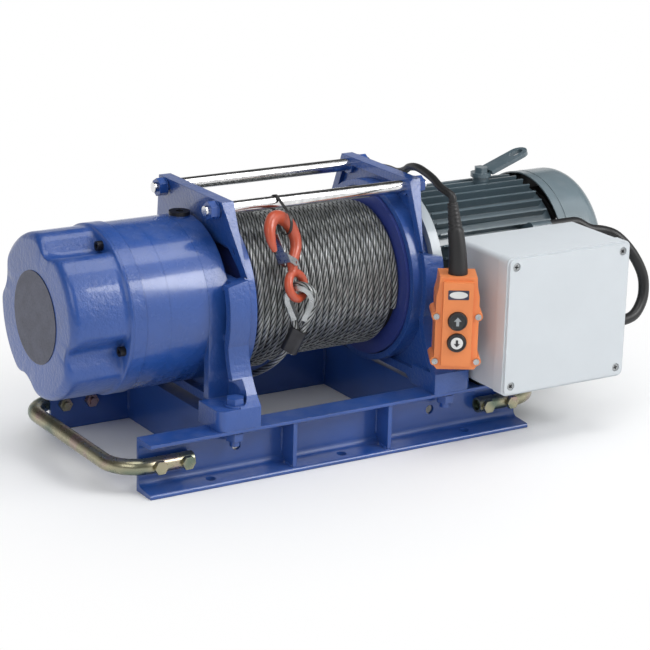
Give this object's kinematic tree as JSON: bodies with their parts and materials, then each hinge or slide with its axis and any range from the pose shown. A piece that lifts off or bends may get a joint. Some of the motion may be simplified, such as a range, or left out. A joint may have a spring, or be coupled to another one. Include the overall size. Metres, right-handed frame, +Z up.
{
  "type": "electric wire rope winch",
  "caption": "Base-mounted electric winch: planetary gearbox, wire rope drum between cast plates, finned motor, control box and push-button pendant with a hook.",
  "frame": {"origin": "centre of the base bolt pattern, on the underside of the rails", "axes": "+X along the drum axis from the gearbox to the motor, +Z up, -Y towards the control box and pendant"},
  "size_m": [0.912, 0.5805, 0.384],
  "materials": {
    "blue_enamel": "gloss enamel over rolled steel",
    "blue_casting": "gloss enamel over rough sand casting",
    "blue_gloss": "gloss enamel over machined housing",
    "zinc": "yellow passivated zinc",
    "chrome": "bright chrome bar",
    "drum_paint": "enamel",
    "rope_steel": "galvanised steel wire rope, lightly greased",
    "bronze": "plain bearing bronze",
    "black_steel": "blackened steel",
    "name_plate": "dark anodised disc",
    "gear_steel": "machined steel",
    "fan_plastic": "moulded fan",
    "motor_light": "light grey paint",
    "motor_paint": "grey-green motor paint",
    "fan_cover_paint": "gloss paint over pressed sheet",
    "plated_steel": "bright zinc plate",
    "ferrule_alloy": "pressed aluminium",
    "box_plastic": "light grey fine-textured moulding",
    "cable_jacket": "black jacket",
    "boot_rubber": "black rubber boot",
    "pendant_plastic": "orange moulding",
    "button_black": "black cap with a white arrow",
    "button_white": "white cap with a dark arrow",
    "hook_paint": "orange-red paint over forging",
    "tie_plastic": "nylon strap"
  },
  "bodies": {
    "frame": {"front_rail": "blue_enamel", "rear_rail": "blue_enamel", "rail_gussets": "blue_enamel", "left_crossmember": "blue_enamel", "right_crossmember": "blue_enamel", "foot_bolts": "blue_enamel", "foot_nuts": "blue_enamel", "tie_bar_nuts": "blue_enamel", "left_side_plate": "blue_casting", "right_side_plate": "blue_casting", "gear_end_cover": "blue_casting", "bearing_plate": "blue_casting", "input_ring_gear": "blue_gloss", "output_ring_gear": "blue_gloss", "left_handle": "zinc", "right_handle": "zinc", "handle_bolts": "zinc", "front_tie_bar": "chrome", "rear_tie_bar": "chrome", "rope_tail": "rope_steel", "drum_bushes": "bronze", "cover_screws": "black_steel", "oil_plug": "black_steel", "box_bracket": "black_steel", "name_disc": "name_plate", "motor_flange": "motor_light", "motor_housing": "motor_paint", "lifting_lug": "motor_paint", "fan_cover": "fan_cover_paint", "motor_bolts": "plated_steel", "lid_screws": "plated_steel", "pendant_screws": "plated_steel", "thimble": "plated_steel", "ferrule": "ferrule_alloy", "control_box": "box_plastic", "control_box_lid": "box_plastic", "motor_lead": "cable_jacket", "pendant_cable": "cable_jacket", "cable_coil": "cable_jacket", "pendant_boot": "boot_rubber", "pendant_front": "pendant_plastic", "pendant_back": "pendant_plastic", "rope_hook": "hook_paint", "cable_tie": "tie_plastic"},
    "drum": {"drum": "drum_paint", "wound_rope": "rope_steel", "output_carrier": "gear_steel"},
    "output_planet_1": {"output_planet_1": "gear_steel"},
    "output_planet_2": {"output_planet_2": "gear_steel"},
    "output_planet_3": {"output_planet_3": "gear_steel"},
    "input_carrier": {"input_carrier": "gear_steel"},
    "input_planet_1": {"input_planet_1": "gear_steel"},
    "input_planet_2": {"input_planet_2": "gear_steel"},
    "input_planet_3": {"input_planet_3": "gear_steel"},
    "drive": {"drive_shaft": "gear_steel", "rotor": "gear_steel", "cooling_fan": "fan_plastic"},
    "up_button": {"up_button": "button_black"},
    "down_button": {"down_button": "button_white"},
    "hook_latch": {"hook_latch": "plated_steel"}
  },
  "joints": [
    {"name": "drum_spin", "type": "hinge", "parent": "frame", "child": "drum", "pos_m": [0, 0, 0.215], "axis": [1, 0, 0], "continuous": true},
    {"name": "output_planet_1_spin", "type": "hinge", "parent": "drum", "child": "output_planet_1", "pos_m": [-0.2185, 0, 0.161], "axis": [1, 0, 0], "continuous": true},
    {"name": "output_planet_2_spin", "type": "hinge", "parent": "drum", "child": "output_planet_2", "pos_m": [-0.2185, 0.04677, 0.242], "axis": [1, 0, 0], "continuous": true},
    {"name": "output_planet_3_spin", "type": "hinge", "parent": "drum", "child": "output_planet_3", "pos_m": [-0.2185, -0.04677, 0.242], "axis": [1, 0, 0], "continuous": true},
    {"name": "input_carrier_spin", "type": "hinge", "parent": "frame", "child": "input_carrier", "pos_m": [-0.24, 0, 0.215], "axis": [1, 0, 0], "continuous": true},
    {"name": "input_planet_1_spin", "type": "hinge", "parent": "input_carrier", "child": "input_planet_1", "pos_m": [-0.2615, 0, 0.161], "axis": [1, 0, 0], "continuous": true},
    {"name": "input_planet_2_spin", "type": "hinge", "parent": "input_carrier", "child": "input_planet_2", "pos_m": [-0.2615, 0.04677, 0.242], "axis": [1, 0, 0], "continuous": true},
    {"name": "input_planet_3_spin", "type": "hinge", "parent": "input_carrier", "child": "input_planet_3", "pos_m": [-0.2615, -0.04677, 0.242], "axis": [1, 0, 0], "continuous": true},
    {"name": "drive_spin", "type": "hinge", "parent": "frame", "child": "drive", "pos_m": [0.2, 0, 0.215], "axis": [1, 0, 0], "continuous": true},
    {"name": "up_button_press", "type": "slide", "parent": "frame", "child": "up_button", "axis": [0.5, 0.866, 0], "range_m": [0, 0.003], "stiffness_N_per_m": 800},
    {"name": "down_button_press", "type": "slide", "parent": "frame", "child": "down_button", "axis": [0.5, 0.866, 0], "range_m": [0, 0.003], "stiffness_N_per_m": 800},
    {"name": "latch_pivot", "type": "hinge", "parent": "frame", "child": "hook_latch", "pos_m": [-0.06796, -0.11824, 0.27848], "axis": [-0.4019, 0.8619, -0.309], "range_deg": [0, 30], "stiffness_Nm_per_rad": 0.02}
  ],
  "couplings": [
    {"joint": "output_planet_1_spin", "follows": "drum_spin", "ratio": -2.7143},
    {"joint": "output_planet_2_spin", "follows": "drum_spin", "ratio": -2.7143},
    {"joint": "output_planet_3_spin", "follows": "drum_spin", "ratio": -2.7143},
    {"joint": "input_carrier_spin", "follows": "drum_spin", "ratio": 4.8},
    {"joint": "input_planet_1_spin", "follows": "drum_spin", "ratio": -13.029},
    {"joint": "input_planet_2_spin", "follows": "drum_spin", "ratio": -13.029},
    {"joint": "input_planet_3_spin", "follows": "drum_spin", "ratio": -13.029},
    {"joint": "drive_spin", "follows": "drum_spin", "ratio": 23.04}
  ]
}
